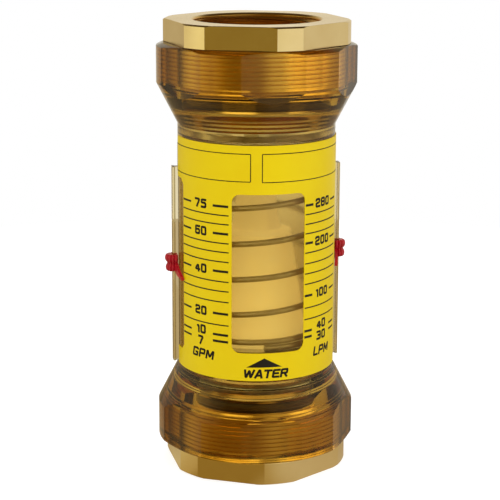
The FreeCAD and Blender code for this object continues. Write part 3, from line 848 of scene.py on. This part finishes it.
# ---- Pointers ----------------------------------------------------------------------------------
def grip_mesh(side, level):
    """The fluted, waisted grip that a finger slides."""
    count = GRIP_FLUTES * 8
    points = []
    for radius, rise in GRIP_SHAPE:
        for k in range(count):
            turn = 2 * math.pi * k / count
            flute = FLUTE_DEPTH * (0.5 - 0.5 * math.cos(turn * GRIP_FLUTES)) ** 2
            reach = radius - flute
            points.append(Vector((side * (GRIP_PLACE + reach * math.cos(turn)), reach * math.sin(turn),
                                  level + rise)) * MM)
    return lofted("grip", points, count)


def tail_mesh(side, level):
    """The blade that follows the label round from the grip to the ends of the scale's lines."""
    tip_angle, drop, tip_width = TAIL_TIP
    steps = 16
    points = []
    for k in range(steps + 1):
        angle = 90 + (tip_angle - 90) * k / steps
        share = math.cos(math.radians(angle)) / math.cos(math.radians(tip_angle))
        top = TAIL_ROOT[0] + share * (tip_width / 2 - drop - TAIL_ROOT[0])
        bottom = TAIL_ROOT[1] + share * (-tip_width / 2 - drop - TAIL_ROOT[1])
        for radius, rise in ((TAIL_RADII[0], bottom), (TAIL_RADII[0], top),
                             (TAIL_RADII[1], top), (TAIL_RADII[1], bottom)):
            points.append(around(radius, side * angle, level + rise))
    return lofted("tail", points, 4)


def slider(name, side, level):
    """A pointer: its grip and tail in one moulding, with a slot that runs on the rail."""
    piece = new_piece(name, grip_mesh(side, level))
    combined(piece, [new_piece("tail", tail_mesh(side, level))], "UNION")
    low, high = level - POINTER_REACH, level + POINTER_REACH
    tube = [(0, low), (TAIL_RADII[0], low), (TAIL_RADII[0], high), (0, high)]
    wall = new_piece("wall", turned_mesh("wall", tube, EVEN_ANGLES))
    slot = rail_prism("slot", side, TAIL_RADII[0] - 1, RAIL_PLAY, low, high)
    combined(piece, [wall, slot], "DIFFERENCE")
    return shaded(piece, 40)


# ---- Finishes ----------------------------------------------------------------------------------
TOOL_FEED = 0.4 * MM              # from one line of the tool to the next
FLOW_WAVE = 16.7 * MM             # of the slow waves that moulding leaves in the wall
FILM_GRAIN = 0.4 * MM             # coarser than a real film's, so that it shows


def material(name):
    """A new material, its node tree, and where its surface patterns are read."""
    made = bpy.data.materials.new(name)
    made.use_nodes = True
    made.node_tree.nodes.clear()
    return made, made.node_tree, node(made.node_tree, "ShaderNodeTexCoord").outputs["Object"]


def finished(made, surface, lets_through=None, inside=None):
    """Ends a material. If it lets light through, the lamps' shadow rays pass it with that tint."""
    tree = made.node_tree
    if lets_through:
        tint = node(tree, "ShaderNodeBsdfTransparent", {"Color": colour(lets_through)})
        path = node(tree, "ShaderNodeLightPath")
        surface = node(tree, "ShaderNodeMixShader",
                       {0: path.outputs["Is Shadow Ray"], 1: surface, 2: tint})
    end = node(tree, "ShaderNodeOutputMaterial", {"Surface": surface})
    if inside:
        tree.links.new(inside.outputs[0], end.inputs["Volume"])
    return made


def mottled(tree, place, size, detail, low, high, full=0.7):
    """Clouds of so many millimetres, and the colour between low and high that they give."""
    cloud = node(tree, "ShaderNodeTexNoise",
                 {"Vector": place, "Scale": 1 / (size * MM), "Detail": detail})
    return cloud, node(tree, "ShaderNodeValToRGB", {"Fac": cloud},
                       stops=((0.3, colour(low)), (full, colour(high))))


def from_axis(tree, place):
    """A place's coordinates, and its distance from the meter's axis."""
    split = node(tree, "ShaderNodeSeparateXYZ", {0: place})
    flat = node(tree, "ShaderNodeCombineXYZ", {"X": split.outputs["X"], "Y": split.outputs["Y"]})
    return split, node(tree, "ShaderNodeVectorMath", {0: flat}, operation="LENGTH").outputs["Value"]


def turned_brass():
    """Free-cutting brass bar, turned and milled: pale gold gloss with fine lines left by the tool."""
    made, tree, place = material("turned_brass")
    split, radius = from_axis(tree, place)
    # The tool's lines, out from the axis on the ends and up the sides
    normal = node(tree, "ShaderNodeNewGeometry").outputs["Normal"]
    facing = node(tree, "ShaderNodeSeparateXYZ", {0: normal})
    level = node(tree, "ShaderNodeMath", {0: facing.outputs["Z"]}, operation="ABSOLUTE")
    is_end = node(tree, "ShaderNodeMath", {0: level, 1: 0.7}, operation="GREATER_THAN")
    along = node(tree, "ShaderNodeMix", {"Factor": is_end, "A": split.outputs["Z"], "B": radius})
    step = node(tree, "ShaderNodeCombineXYZ", {"X": along})
    lines = node(tree, "ShaderNodeTexNoise", {"Vector": step, "Scale": 1 / TOOL_FEED, "Detail": 2.0})
    shades = mottled(tree, place, 11.1, 4.0, "#EBD295", "#F2DCA2", 0.75)[1]
    rough = node(tree, "ShaderNodeMapRange", {"Value": lines, "To Min": 0.16, "To Max": 0.26})
    bump = node(tree, "ShaderNodeBump", {"Height": lines, "Strength": 0.12, "Distance": 0.03 * MM})
    # The tapped ports are given a darker, deeper gold
    tapped = node(tree, "ShaderNodeMath", {0: radius, 1: TAPPED_RADIUS * MM}, operation="LESS_THAN")
    tone = node(tree, "ShaderNodeMix", {0: tapped, 6: shades, 7: colour("#DDB056")}, data_type="RGBA")
    return finished(made, node(tree, "ShaderNodeBsdfPrincipled", {
        "Base Color": tone.outputs[2],
        "Metallic": 1.0,
        "Anisotropic": 0.5,
        "Tangent": node(tree, "ShaderNodeTangent", direction_type="RADIAL", axis="Z"),
        "Roughness": rough,
        "Normal": bump,
    }))


def clear_polymer():
    """Moulded amber polysulfone: glassy outside, duller in the machined bore, tinted by its depth."""
    made, tree, place = material("moulded_amber_polysulfone")
    radius = from_axis(tree, place)[1]
    bored = node(tree, "ShaderNodeMath", {0: radius, 1: BORE_LIMIT * MM}, operation="LESS_THAN")
    rough = node(tree, "ShaderNodeMapRange", {"Value": bored, "To Min": 0.02, "To Max": 0.16})
    flow = node(tree, "ShaderNodeTexNoise", {"Vector": place, "Scale": 1 / FLOW_WAVE, "Detail": 1.0})
    bump = node(tree, "ShaderNodeBump", {"Height": flow, "Strength": 0.004, "Distance": 0.2 * MM})
    glass = node(tree, "ShaderNodeBsdfPrincipled", {
        "Base Color": colour("#FFFFFF"),
        "Roughness": rough,
        "IOR": 1.6,
        "Specular Tint": colour("#E7C89E"),
        "Transmission Weight": 1.0,
        "Normal": bump,
    })
    depth = node(tree, "ShaderNodeVolumeAbsorption", {"Color": colour("#EFDF84"), "Density": 278.0})
    return finished(made, glass, "#FFFDF4", depth)


def frosted_polymer():
    """Natural polysulfone with a blasted skin: matt and milky, so light from behind shows in it.
    It also has a painted glow: a constant emission, though it is no lamp.
    """
    made, tree, place = material("frosted_polysulfone_painted_glow")
    cloud, shades = mottled(tree, place, 8.33, 3.0, "#FFFBE4", "#FFFEEE")
    bump = node(tree, "ShaderNodeBump", {"Height": cloud, "Strength": 0.05, "Distance": 0.05 * MM})
    skin = node(tree, "ShaderNodeBsdfPrincipled", {
        "Base Color": shades,
        "Roughness": 0.6,
        "Specular IOR Level": 0.2,
        # Painted glow: a constant emission that lights the cone, though it is no lamp
        "Emission Color": colour("#FFECC4"),    # stands for the light that scatters round inside it
        "Emission Strength": 0.2,
        "Normal": bump,
    })
    milk = node(tree, "ShaderNodeBsdfTranslucent", {"Color": shades})
    return finished(made, node(tree, "ShaderNodeMixShader", {0: 0.35, 1: skin, 2: milk}), "#FFF8E8")


def label_stock():
    """Thin polyester film, printed solid yellow under a gloss layer. The lamps' light goes through."""
    made, tree, place = material("gloss_yellow_label")
    shades = mottled(tree, place, 16.67, 3.0, "#F0CE00", "#F3D502")[1]
    grain = node(tree, "ShaderNodeTexNoise", {"Vector": place, "Scale": 1 / FILM_GRAIN})
    bump = node(tree, "ShaderNodeBump", {"Height": grain, "Strength": 0.05, "Distance": 0.02 * MM})
    film = node(tree, "ShaderNodeBsdfPrincipled",
                {"Base Color": shades, "Roughness": 0.42, "Specular IOR Level": 0.2, "Normal": bump})
    return finished(made, film, "#F8F2E0")


def plain_finish(name, low, high, roughness, metallic=0.0):
    """A finish whose colour and roughness vary a little, with a fine grain in its surface."""
    made, tree, place = material(name)
    cloud, shades = mottled(tree, place, 2.5, 4.0, low, high)
    rough = node(tree, "ShaderNodeMapRange",
                 {"Value": cloud, "To Min": roughness * 0.8, "To Max": roughness * 1.2})
    bump = node(tree, "ShaderNodeBump", {"Height": cloud, "Strength": 0.2, "Distance": 0.02 * MM})
    return finished(made, node(tree, "ShaderNodeBsdfPrincipled", {
        "Base Color": shades, "Metallic": metallic, "Roughness": rough, "Normal": bump,
    }))


# ---- Camera, light and room --------------------------------------------------------------------
CAMERA_AZIMUTH = -9.7             # from the window's centre
CAMERA_DISTANCE, CAMERA_HEIGHT = 581.4, 222.6
CAMERA_PITCH, CAMERA_YAW, CAMERA_ROLL = 12.80, 0.22, 0.22


def camera():
    data = bpy.data.cameras.new("camera")
    data.sensor_width = 36
    data.lens = 114.1
    data.shift_y = -0.05
    view = bpy.data.objects.new("camera", data)
    bpy.context.scene.collection.objects.link(view)
    view.matrix_world = (Matrix.Translation(around(CAMERA_DISTANCE, CAMERA_AZIMUTH, CAMERA_HEIGHT))
                         @ Matrix.Rotation(math.radians(CAMERA_AZIMUTH + CAMERA_YAW), 4, "Z")
                         @ Matrix.Rotation(math.radians(90 - CAMERA_PITCH), 4, "X")
                         @ Matrix.Rotation(math.radians(CAMERA_ROLL), 4, "Z"))
    bpy.context.scene.camera = view


def lamp(name, place, size, power):
    data = bpy.data.lights.new(name, "AREA")
    data.shape = "RECTANGLE"
    data.size, data.size_y = size
    data.energy = power
    light = bpy.data.objects.new(name, data)
    light.location = place
    aim = Vector((0, 0, LENGTH / 2 * MM)) - Vector(place)
    light.rotation_euler = aim.to_track_quat("-Z", "Y").to_euler()
    light.visible_glossy = False
    bpy.context.scene.collection.objects.link(light)


# The studio's wall by its angle from the window's centre: cream, with one olive screen beside the
# camera that gives the brass its dark flats. Its ceiling is dark.
SCREEN = "#8E7836"
CEILING = colour("#4A3820")
WALL_TOP, CEILING_START = 0.42, 0.62        # as sines of their elevations
STUDIO = {
    -180: "#D6CAB2", -150: "#BCAE90", -112: "#E2D8BE", -80: "#FFF8D2", -60: "#E0CFA0",
    -48: SCREEN, -16: SCREEN,
    0: "#CDBF98", 14: "#F2EEDF", 48: "#F4EFE4", 90: "#D8D0C2", 130: "#D6CDBC", 165: "#EAE2D0",
}


def studio_pattern(tree, direction):
    """The colour of the studio's wall in a direction, with the dark ceiling over it."""
    split = node(tree, "ShaderNodeSeparateXYZ", {0: direction})
    front = node(tree, "ShaderNodeMath", {0: split.outputs["Y"], 1: -1.0}, operation="MULTIPLY")
    angle = node(tree, "ShaderNodeMath", {0: split.outputs["X"], 1: front}, operation="ARCTAN2")
    share = node(tree, "ShaderNodeMapRange",
                 {"Value": angle, "From Min": -math.pi, "From Max": math.pi})
    wall = node(tree, "ShaderNodeValToRGB", {"Fac": share},
                stops=[((at + 180) / 360, colour(shade)) for at, shade in STUDIO.items()])
    over = node(tree, "ShaderNodeMapRange",
                {"Value": split.outputs["Z"], "From Min": WALL_TOP, "From Max": CEILING_START})
    return node(tree, "ShaderNodeMix", {0: over, 6: wall, 7: CEILING}, data_type="RGBA").outputs[2]


def seen_rays(tree):
    """1 for the camera's own rays, and 1 for rays by way of metal or glass."""
    path = node(tree, "ShaderNodeLightPath")
    by_way = node(tree, "ShaderNodeMath",
                  {0: path.outputs["Is Glossy Ray"], 1: path.outputs["Is Transmission Ray"]},
                  operation="MAXIMUM")
    return path.outputs["Is Camera Ray"], by_way


def world():
    made = bpy.data.worlds.new("studio")
    made.use_nodes = True
    tree = made.node_tree
    tree.nodes.clear()
    camera_rays, by_way = seen_rays(tree)
    direction = node(tree, "ShaderNodeTexCoord").outputs["Generated"]
    soft = node(tree, "ShaderNodeBackground", {"Color": colour("#FFFFFF"), "Strength": 0.5})
    wall = node(tree, "ShaderNodeBackground", {"Color": studio_pattern(tree, direction)})
    white = node(tree, "ShaderNodeBackground", {"Color": colour("#FFFFFF")})
    lit = node(tree, "ShaderNodeMixShader", {0: by_way, 1: soft, 2: wall})
    shown = node(tree, "ShaderNodeMixShader", {0: camera_rays, 1: lit, 2: white})
    node(tree, "ShaderNodeOutputWorld", {"Surface": shown})
    bpy.context.scene.world = made


FLOOR_REACH = 0.42                # metres


def floor():
    """A round white table top that keeps the shadow and is lost in the white round it."""
    corners = 72
    turns = [2 * math.pi * i / corners for i in range(corners)]
    points = [(FLOOR_REACH * math.cos(turn), FLOOR_REACH * math.sin(turn), 0) for turn in turns]
    mesh = bpy.data.meshes.new("floor")
    mesh.from_pydata(points, [], [tuple(range(corners))])
    piece = new_piece("floor", mesh)
    made, tree, place = material("white_table_top")
    camera_rays, by_way = seen_rays(tree)
    matt = node(tree, "ShaderNodeBsdfDiffuse", {"Color": colour("#D9D9D9")})
    glow = node(tree, "ShaderNodeEmission", {"Strength": 0.72})
    half = node(tree, "ShaderNodeBsdfDiffuse", {"Color": colour("#C4C4C4")})
    bright = node(tree, "ShaderNodeAddShader", {0: glow, 1: half})
    # Seen in the object, the table is the wall's colours softened to gold
    tone = node(tree, "ShaderNodeMix", {0: 0.45, 6: studio_pattern(tree, place), 7: colour("#CBA55C")},
                data_type="RGBA")
    wall = node(tree, "ShaderNodeEmission", {"Color": tone.outputs[2], "Strength": 0.74})
    mirrored = node(tree, "ShaderNodeMixShader", {0: by_way, 1: matt, 2: wall})
    mixed = node(tree, "ShaderNodeMixShader", {0: camera_rays, 1: mirrored, 2: bright})
    mesh.materials.append(finished(made, mixed))


# ---- Putting it together -----------------------------------------------------------------------
def placed(piece, finish, body, slot, *nodes):
    """Gives a piece its finish and its body, and hides the CAD nodes that it stands for. Its slot is
    not used.
    """
    piece.data.materials.clear()
    piece.data.materials.append(finish)
    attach(piece, body)
    if nodes:
        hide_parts(*nodes)
    return piece


def keep_node(name, finish):
    """Keeps a CAD node's shape and gives it a finish."""
    piece = frame["nodes"][name]
    if not piece.material_slots:
        piece.data.materials.append(finish)
    for place in piece.material_slots:
        place.material = finish


def main():
    brass = turned_brass()
    amber = clear_polymer()
    stock = label_stock()
    # Turned and stamped steel gleams softly, and wire drawn through a die is duller
    steel = plain_finish("machined_stainless", "#C4C2BC", "#D8D6D0", 0.34, 1.0)
    wire = plain_finish("drawn_stainless_wire", "#CCC6BA", "#DAD5CA", 0.55, 1.0)
    # Screen ink dries matt, nitrile is warm and nearly black, and acetal has a waxy gloss
    ink = plain_finish("black_label_ink", "#0D0A06", "#17120A", 0.6)
    rubber = plain_finish("black_nitrile_rubber", "#2A1E14", "#35281C", 0.55)
    red = plain_finish("moulded_red_acetal", "#A80E1C", "#BE1626", 0.34)
    thread = thread_tree()
    wrap = wrap_tree()

    placed(clear_body(), amber, "housing", "clear_body", "clear_body")
    lower = end_fitting("lower_brass_fitting", LOWER_FITTING_TURN, thread, brass)
    placed(shaded(lower, 15), brass, "housing", "end_fittings", "lower_end_fitting")
    upper = upturned(end_fitting("upper_brass_fitting", -UPPER_FITTING_TURN, thread, brass))
    placed(shaded(upper, 15), brass, "housing", "end_fittings", "upper_end_fitting")
    placed(scale_label(wrap, stock), stock, "housing", "label", "scale_label")
    placed(scale_print(wrap, ink), ink, "housing", "label")
    cone_mesh = smooth(turned_mesh("core_cone", CONE_OUTLINE, EVEN_ANGLES))
    placed(new_piece("core_cone", cone_mesh), frosted_polymer(), "housing", "cone", "metering_cone")
    coil = placed(spring(wire), wire, "housing", "spring", "spring")
    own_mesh(coil)

    for name in ("lower_o_ring", "upper_o_ring"):
        keep_node(name, rubber)
    for name in ("cone_bolt", "bolt_lock_washer", "tip_screw", "tip_lock_washer", "lower_spider",
                 "upper_spider", "lower_retaining_ring", "upper_retaining_ring", "float_disc"):
        keep_node(name, steel)
    keep_node("cone_insert", brass)
    for name, side in (("left_pointer", -1), ("right_pointer", 1)):
        grip = slider(name + "_grip", side, POINTER_HEIGHTS[name])
        placed(grip, red, name, "pointers", name)

    camera()
    lamp("key", (-0.6, -0.85, 0.7), (0.9, 1.0), 6.0)
    lamp("fill", (0.9, -0.5, 0.45), (0.7, 1.0), 3.6)
    lamp("top", (0.1, 0.35, 1.0), (0.9, 0.8), 3.0)
    world()
    floor()
    bpy.context.scene.view_settings.view_transform = "Standard"


main()
